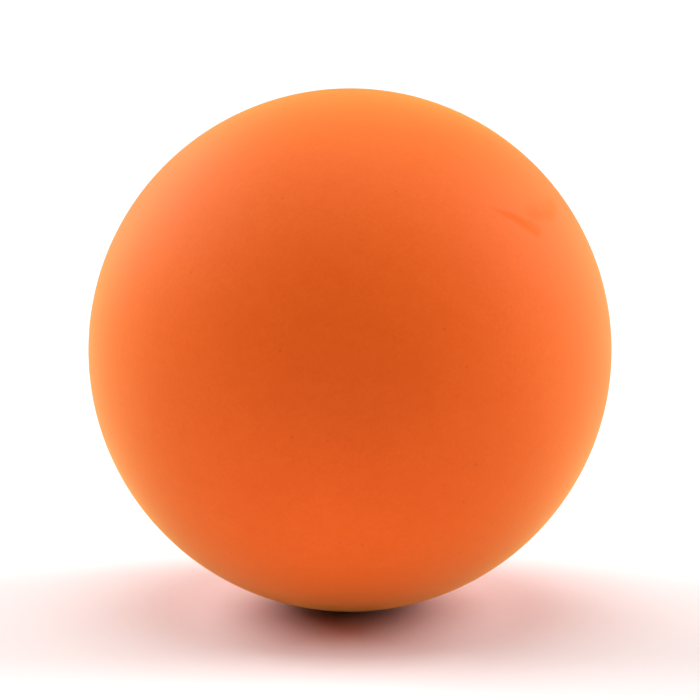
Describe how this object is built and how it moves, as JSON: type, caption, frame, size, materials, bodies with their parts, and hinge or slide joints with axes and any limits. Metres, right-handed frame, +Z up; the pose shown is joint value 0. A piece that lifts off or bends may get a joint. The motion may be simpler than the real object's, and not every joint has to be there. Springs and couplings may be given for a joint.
{
  "type": "table tennis ball",
  "caption": "Hollow matte orange ball moulded as two thin half shells that are cemented together on a tongue-and-rebate seam.",
  "frame": {"origin": "centre of the ball", "axes": "+Z up, Y along the ball's polar axis; the seam lies in the plane Y = 0, with the front half shell at -Y and the rear half shell at +Y"},
  "size_m": [0.04, 0.04, 0.04],
  "materials": {
    "orange_shell": "matte",
    "seam_cement": "satin"
  },
  "bodies": {
    "root": {"front_half_shell": "orange_shell", "rear_half_shell": "orange_shell", "seam_cement": "seam_cement"}
  },
  "joints": []
}
